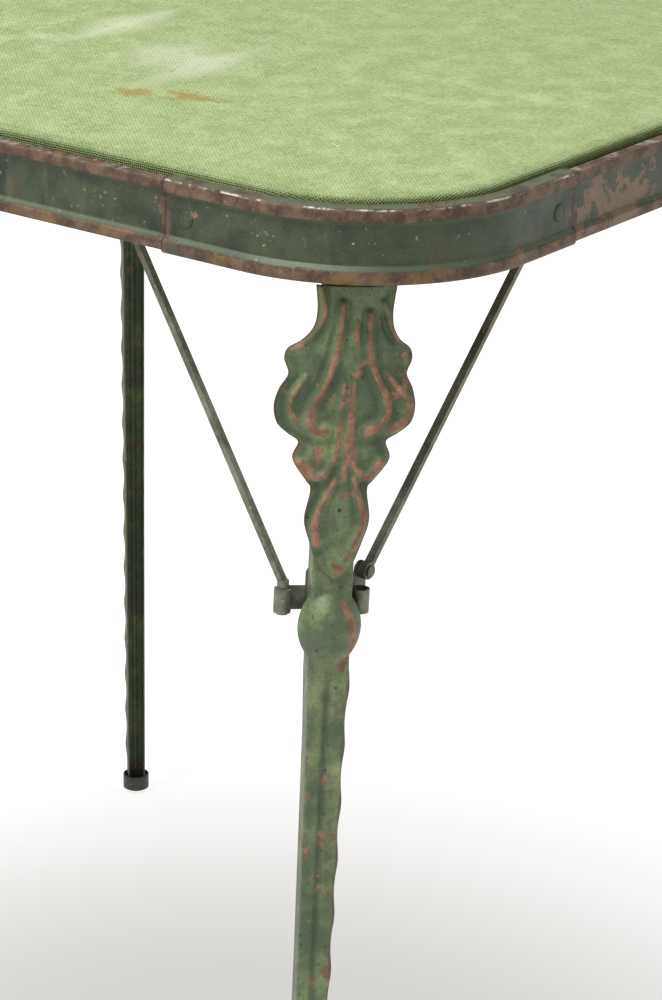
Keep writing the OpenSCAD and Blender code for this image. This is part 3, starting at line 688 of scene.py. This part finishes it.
def legRow(z):
    down = [t[0] for t in legTaper]
    w = float(np.interp(-z, down, [t[1] for t in legTaper]))
    d = float(np.interp(-z, down, [t[2] for t in legTaper]))
    slim = w / legTaper[0][1]
    groove = legSize["groove"] * slim * float(smoothStep(-z, 160, 186))
    g = legSize["grooveHalf"] * slim
    path = np.array([(-w, d), (-w, -d), (-g, -d), (0, groove - d), (g, -d), (w, -d), (w, d)])
    steps = np.concatenate([[0], np.cumsum(np.hypot(*np.diff(path, axis=0).T))])
    t = np.linspace(0, steps[-1], legSize["profilePoints"])
    u, v = np.interp(t, steps, path[:, 0]), np.interp(t, steps, path[:, 1])
    for _ in range(3):
        u[1:-1] = (u[:-2] + 2 * u[1:-1] + u[2:]) / 4
        v[1:-1] = (v[:-2] + 2 * v[1:-1] + v[2:]) / 4
    waves = 0.0
    for i in range(legSize["waves"]):
        past = z - legSize["waveStart"] + i * legSize["wavePitch"]
        waves += math.exp(-(past / legSize["waveLength"]) ** 2)
    rightEdge = smoothStep(u, w * 0.55, w) * (1 - smoothStep(v, -1, d))
    u = u + waves * legSize["waveHeight"] * rightEdge
    drop = z - legSize["bulbMiddle"]
    reachOut = legSize["bulbAbove"] if drop > 0 else legSize["bulbBelow"]
    bulb = max(0.0, 1 - (drop / reachOut) ** 2) ** 0.8
    reach = np.hypot(u, v)
    want = d + (legSize["bulbRadius"] - d) * bulb if bulb > 0 else 0.0
    front = 1 - smoothStep(v, -1.5, 1.0)
    grow = np.maximum(want - reach, 0) * front
    u, v = u + u / reach * grow, v + v / reach * grow
    rightOnly = np.clip(waves, 0, 1) * smoothStep(u, w * 0.8, w + 0.6) * (v < 0)
    stripeAt = np.interp(-z, [t[0] for t in legStripe], [t[1] for t in legStripe])
    stripe = np.exp(-((u - stripeAt) / 2.2) ** 2)
    stripe = stripe * (v < 0) * float(smoothStep(-z, 137, 140) * (1 - smoothStep(-z, 166, 180)))
    sides = np.exp(-((np.abs(u) - w) / 1.5) ** 2) * 0.36
    # painted shade along the groove down the front
    hollowShade = np.exp(-(u / 1.6) ** 2) * (v < 0) * groove / 1.6
    return u, v, np.maximum(stripe * 0.95, rightOnly * 0.62), sides + rightOnly * 0.3, hollowShade


def makeLeg():
    z = np.concatenate([np.linspace(legSize["top"], -134, 20), np.linspace(-136, -172, 40),
                        np.linspace(-174, legSize["bottom"], 190)])
    rows = [legRow(float(h)) for h in z]
    u, v, worn, edge, hollowShade = (np.array([r[i] for r in rows]) for i in range(5))
    du = np.gradient(u, axis=1)
    dv = np.gradient(v, axis=1)
    length = np.hypot(du, dv)
    inU = u - dv / length * legSize["thickness"]
    inV = v + du / length * legSize["thickness"]
    zz = np.repeat(z[:, None], u.shape[1], 1)
    outer = onLeg(u, v, zz).reshape(-1, 3)
    inner = onLeg(inU, inV, zz).reshape(-1, 3)
    # the inner face gets a plain painted shade
    marks = {"wear": faceAndBack(worn, 0.0), "edge": faceAndBack(edge, 0.3),
             "hollowShade": faceAndBack(hollowShade, 0.6), "hole": faceAndBack(np.zeros(u.size), 0.0)}
    return np.concatenate([outer, inner]), shellFaces(*u.shape), marks


legPoints, legFaces, legMarks = makeLeg()
for k in cornerNumbers:
    shell = meshObject(f"legChannel_{k}", turned(legPoints, k), legFaces, leg, legMarks)
    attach(shell, f"leg_{k}")
    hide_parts(f"leg_shell_{k}")
print("legs made")


# Repeated fasteners and loose threads grow from node trees
def growTree(name, sockets):
    tree = bpy.data.node_groups.new(name, "GeometryNodeTree")
    tree.interface.new_socket("Geometry", in_out="INPUT", socket_type="NodeSocketGeometry")
    tree.interface.new_socket("Geometry", in_out="OUTPUT", socket_type="NodeSocketGeometry")
    for label, kind in sockets:
        tree.interface.new_socket(label, in_out="INPUT", socket_type=kind)
    return tree, tree.nodes.new("NodeGroupInput"), tree.nodes.new("NodeGroupOutput")


def grow(obj, tree, values, name):
    change = obj.modifiers.new(name, "NODES")
    change.node_group = tree
    for item in tree.interface.items_tree:
        if item.item_type == "SOCKET" and item.in_out == "INPUT" and item.name in values:
            change[item.identifier] = values[item.name]
    bpy.context.view_layer.update()
    graph = bpy.context.evaluated_depsgraph_get()
    mesh = bpy.data.meshes.new_from_object(obj.evaluated_get(graph))
    grown = bpy.data.objects.new(name, mesh)
    bpy.context.collection.objects.link(grown)
    bpy.data.objects.remove(obj)
    return grown


def paintInstances(tree, place, source, result):
    # instances made real, given the finish and sent out
    real = tree.nodes.new("GeometryNodeRealizeInstances")
    paint = tree.nodes.new("GeometryNodeSetMaterial")
    tree.links.new(place.outputs[0], real.inputs[0])
    tree.links.new(real.outputs[0], paint.inputs[0])
    tree.links.new(source.outputs["Finish"], paint.inputs["Material"])
    tree.links.new(paint.outputs[0], result.inputs[0])


def lathe(name, profile, steps=28):
    # profile of radius and height in mm, from the axis outwards and back to it
    points, faces = [(0, 0, profile[0][1] * mm), (0, 0, profile[-1][1] * mm)], []
    for r, h in profile[1:-1]:
        for i in range(steps):
            a = 2 * math.pi * i / steps
            points.append((r * math.cos(a) * mm, r * math.sin(a) * mm, h * mm))
    for i in range(steps):
        j = (i + 1) % steps
        faces.append((0, 2 + i, 2 + j))
        for ring in range(len(profile) - 3):
            a = 2 + ring * steps
            faces.append((a + i, a + steps + i, a + steps + j, a + j))
        last = 2 + (len(profile) - 3) * steps
        faces.append((1, last + j, last + i))
    return meshObject(name, points, faces)


def fastenerTree(name):
    tree, source, result = growTree(name, (("Model", "NodeSocketObject"),
                                           ("Finish", "NodeSocketMaterial")))
    make, link = tree.nodes.new, tree.links.new
    model = make("GeometryNodeObjectInfo")
    turnMark = make("GeometryNodeInputNamedAttribute")
    turnMark.data_type = "FLOAT_VECTOR"
    turnMark.inputs["Name"].default_value = "turn"
    place = make("GeometryNodeInstanceOnPoints")
    link(source.outputs["Geometry"], place.inputs["Points"])
    link(source.outputs["Model"], model.inputs["Object"])
    link(model.outputs["Geometry"], place.inputs["Instance"])
    link(turnMark.outputs[0], place.inputs["Rotation"])
    paintInstances(tree, place, source, result)
    return tree


def pointCloud(name, places, turns):
    obj = meshObject(name, places, [])
    layer = obj.data.attributes.new("turn", "FLOAT_VECTOR", "POINT")
    layer.data.foreach_set("vector", np.asarray(turns, np.float32).ravel())
    return obj


rivetSize = {"head": 3.8, "dome": 0.6, "shank": 1.9, "length": 1.85, "tail": 2.9, "tailHeight": 0.9,
             "fromCorner": 108.0, "below": 15.5, "setBack": 2.2}
screwSize = {"head": 3.2, "height": 1.8, "shank": 1.6, "length": 9.0, "apart": 0.01}


def makeFasteners():
    r = rivetSize
    dome = r["dome"]
    low = -r["length"] - r["tailHeight"]
    model = lathe("rivetModel", [(0, dome), (1.6, dome * 0.96), (2.5, dome * 0.8),
                                 (2.8, dome * 0.45), (3.0, dome * 0.45), (3.3, dome * 0.8),
                                 (r["head"] - 0.2, dome * 0.5), (r["head"], 0.0), (r["shank"], 0.0),
                                 (r["shank"], -r["length"]), (r["tail"], -r["length"]),
                                 (r["tail"], low + 0.3), (r["tail"] - 0.5, low), (0, low)])
    corner = rimSide * 1000
    height = rimTop * 1000 - r["below"]
    places, turns = [], []
    for k in cornerNumbers:
        seat = np.array([[corner + r["fromCorner"], corner + r["setBack"], height],
                         [corner + r["setBack"], corner + r["fromCorner"], height]]) * mm
        places += list(turned(seat, k))
        quarter = math.pi / 2 * (k - 1)
        turns += [(math.pi / 2, 0, quarter), (math.pi / 2, 0, quarter - math.pi / 2)]
    cloud = pointCloud("rivetPlaces", places, turns)
    rivets = grow(cloud, fastenerTree("placeRivets"), {"Model": model, "Finish": rim},
                  "rimRivets")
    bpy.data.objects.remove(model)
    s = screwSize
    head, deep = s["head"], s["height"]
    model = lathe("screwModel", [(0, -deep * 0.62), (0.35, -deep * 0.62), (0.5, -deep),
                                 (head * 0.6, -deep * 0.94), (head * 0.9, -deep * 0.66),
                                 (head, -deep * 0.3), (head, 0), (s["shank"], 0)]
                  + [(s["shank"] - (0.35 if i % 2 else 0.0), 0.5 + i * 0.55) for i in range(13)]
                  + [(0.5, s["length"] - 0.9), (0, s["length"] - 0.7)])
    seats = screwPlaces()
    cloud = pointCloud("screwPlaces", seats, [(0, 0, i * 0.7) for i in range(len(seats))])
    screws = grow(cloud, fastenerTree("placeScrews"), {"Model": model, "Finish": steel},
                  "panelScrews")
    bpy.data.objects.remove(model)
    return rivets, screws


def screwPlaces():
    # middles of the eight screws, found from the CAD node's own vertices
    points = np.array([v.co for v in nodes["panel_screws"].data.vertices])
    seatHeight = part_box("panel_screws")[0].z + screwSize["height"] * mm
    seats = []
    for p in points:
        if not any(np.hypot(*(p[:2] - q[:2])) < screwSize["apart"] for q in seats):
            near = points[np.hypot(*(points[:, :2] - p[:2]).T) < screwSize["apart"]]
            middle = (near.min(0) + near.max(0)) / 2
            seats.append(np.array([middle[0], middle[1], seatHeight]))
    return seats


rimRivets, panelScrews = makeFasteners()
for piece, node, slotName in ((rimRivets, "corner_rivets", "rivet_rust"),
                              (panelScrews, "panel_screws", "plain_steel")):
    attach(piece, "root")
    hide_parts(node)
print("fasteners made")

# Loose threads lying on the cloth
threadSize = {"count": 260, "length": 5.0, "radius": 0.16, "inset": 30.0, "seed": 7}


def makeThreads():
    half = clothBox[1].x - threadSize["inset"] * mm
    top = clothBox[1].z + threadSize["radius"] * 0.4 * mm
    patch = meshObject("threadField", [(-half, -half, top), (half, -half, top),
                                       (half, half, top), (-half, half, top)], [(0, 1, 2, 3)])
    tree, source, result = growTree("scatterThreads", (
        ("Count", "NodeSocketInt"), ("Seed", "NodeSocketInt"), ("Length", "NodeSocketFloat"),
        ("Radius", "NodeSocketFloat"), ("Area", "NodeSocketFloat"), ("Finish", "NodeSocketMaterial")))
    make, link = tree.nodes.new, tree.links.new
    scatter = make("GeometryNodeDistributePointsOnFaces")
    density = make("ShaderNodeMath")
    density.operation = "DIVIDE"
    link(source.outputs["Count"], density.inputs[0])
    link(source.outputs["Area"], density.inputs[1])
    link(source.outputs["Geometry"], scatter.inputs["Mesh"])
    link(density.outputs[0], scatter.inputs["Density"])
    link(source.outputs["Seed"], scatter.inputs["Seed"])
    bow = make("GeometryNodeCurvePrimitiveBezierSegment")
    bow.inputs["Resolution"].default_value = 5
    for key, share in (("Start", (-0.5, 0, 0)), ("Start Handle", (-0.2, 0.14, 0)),
                       ("End Handle", (0.2, -0.14, 0)), ("End", (0.5, 0, 0))):
        scale = make("ShaderNodeVectorMath")
        scale.operation = "SCALE"
        scale.inputs[0].default_value = share
        link(source.outputs["Length"], scale.inputs["Scale"])
        link(scale.outputs[0], bow.inputs[key])
    ring = make("GeometryNodeCurvePrimitiveCircle")
    ring.inputs["Resolution"].default_value = 6
    link(source.outputs["Radius"], ring.inputs["Radius"])
    tube = make("GeometryNodeCurveToMesh")
    link(bow.outputs[0], tube.inputs["Curve"])
    link(ring.outputs[0], tube.inputs["Profile Curve"])
    tube.inputs["Fill Caps"].default_value = True
    angle = make("FunctionNodeRandomValue")
    angle.data_type = "FLOAT_VECTOR"
    angle.inputs["Min"].default_value = (0, 0, 0)
    angle.inputs["Max"].default_value = (0, 0, 6.283)
    link(source.outputs["Seed"], angle.inputs["Seed"])
    size = make("FunctionNodeRandomValue")
    size.data_type = "FLOAT_VECTOR"
    size.inputs["Min"].default_value = (0.4, 0.5, 0.8)
    size.inputs["Max"].default_value = (1.3, 1.4, 1.2)
    place = make("GeometryNodeInstanceOnPoints")
    link(scatter.outputs["Points"], place.inputs["Points"])
    link(tube.outputs[0], place.inputs["Instance"])
    link(angle.outputs[0], place.inputs["Rotation"])
    link(size.outputs[0], place.inputs["Scale"])
    paintInstances(tree, place, source, result)
    return grow(patch, tree, {"Count": threadSize["count"], "Seed": threadSize["seed"],
                              "Length": threadSize["length"] * mm, "Area": (2 * half) ** 2,
                              "Radius": threadSize["radius"] * mm, "Finish": slubs}, "looseThreads")


def slubThread():
    f = Finish("slubThread", Specular_IOR_Level=0.1)
    tone = f.noise(11.0, 3.0)
    fine = f.noise(0.8, 3.0, 0.7)
    colour = f.mix(linear(126, 158, 112), linear(188, 206, 132), f.step(tone, 0.4, 0.6))
    colour = f.mix(colour, linear(96, 128, 96), f.step(fine, 0.5, 0.7) * 0.5)
    return f.wear(colour, 0.85 + fine * 0.1, None, f.relief(fine, 0.0001))


slubs = slubThread()
looseThreads = makeThreads()
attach(looseThreads, "root")
print("threads made")


# Studio
studio = {"floorHalf": 12.0, "skyLight": 0.5, "lightAim": (-0.3, -0.3, 0.6),
          "shadowFrom": 0.15, "shadowTo": 0.66}
# each light: name, place, power, size
studioLights = (("keyLight", (-1.5, 0.1, 2.7), 84.0, 1.5), ("fillLight", (1.6, -2.4, 1.3), 15.0, 2.0))


def makeStudio():
    half = studio["floorHalf"]
    floor = meshObject("studioFloor", [(-half, -half, 0), (half, -half, 0), (half, half, 0),
                                       (-half, half, 0)], [(0, 1, 2, 3)], flat=True)
    f = Finish("studioFloorWithShadow", Specular_IOR_Level=0.0, Roughness=1.0, Emission_Strength=1.0)
    # the floor glows, with a painted shadow under the table, and is pale away from it
    away = f.step(f.sqrt(f.x * f.x + f.y * f.y) * mm, studio["shadowFrom"], studio["shadowTo"])
    glow = f.mix((0.49, 0.485, 0.465, 1), (0.92, 0.92, 0.92, 1), away)
    f.tree.links.new(glow.socket, f.shader.inputs["Emission Color"])
    # the base colour carries the same painted shadow, slightly darker under the table
    floor.data.materials.append(f.wear(f.mix((0.3, 0.3, 0.3, 1), (0.34, 0.34, 0.34, 1), away)))
    world = bpy.data.worlds.new("studioWorld")
    bpy.context.scene.world = world
    world.use_nodes = True
    world.node_tree.nodes["Background"].inputs[0].default_value = (1, 1, 1, 1)
    world.node_tree.nodes["Background"].inputs[1].default_value = studio["skyLight"]
    for name, place, power, size in studioLights:
        lamp = bpy.data.lights.new(name, "AREA")
        lamp.energy, lamp.size = power, size
        obj = bpy.data.objects.new(name, lamp)
        towards = Vector(studio["lightAim"]) - Vector(place)
        facing = towards.to_track_quat("-Z", "Y").to_matrix().to_4x4()
        obj.matrix_world = Matrix.Translation(place) @ facing
        bpy.context.collection.objects.link(obj)


makeStudio()

# Camera: aimed past the near corner of the table
shot = {"distance": 1.585, "bearing": 35.13, "down": 19.93, "roll": -1.76, "across": 0.02922,
        "over": 0.08110, "lens": 151.3, "aimDrop": 0.020}


def makeCamera():
    bearing, pitch, roll = (math.radians(shot[n]) for n in ("bearing", "down", "roll"))
    flat = math.cos(pitch)
    ahead = Vector((math.cos(bearing) * flat, math.sin(bearing) * flat, -math.sin(pitch)))
    right = ahead.cross(Vector((0, 0, 1))).normalized()
    below = ahead.cross(right)
    side = right * math.cos(roll) + below * math.sin(roll)
    under = below * math.cos(roll) - right * math.sin(roll)
    aim = Vector((rimSide, rimSide, rimTop - shot["aimDrop"]))
    spot = aim - ahead * shot["distance"] - side * shot["across"] + under * shot["over"]
    lens = bpy.data.cameras.new("shotCamera")
    lens.lens = shot["lens"]
    lens.sensor_width = 36
    lens.clip_start, lens.clip_end = 0.05, 60
    camera = bpy.data.objects.new("shotCamera", lens)
    camera.matrix_world = Matrix.Translation(spot) @ Matrix((side, -under, -ahead)).transposed().to_4x4()
    bpy.context.collection.objects.link(camera)
    bpy.context.scene.camera = camera
    bpy.context.scene.view_settings.view_transform = "Standard"


makeCamera()
print("studio made")
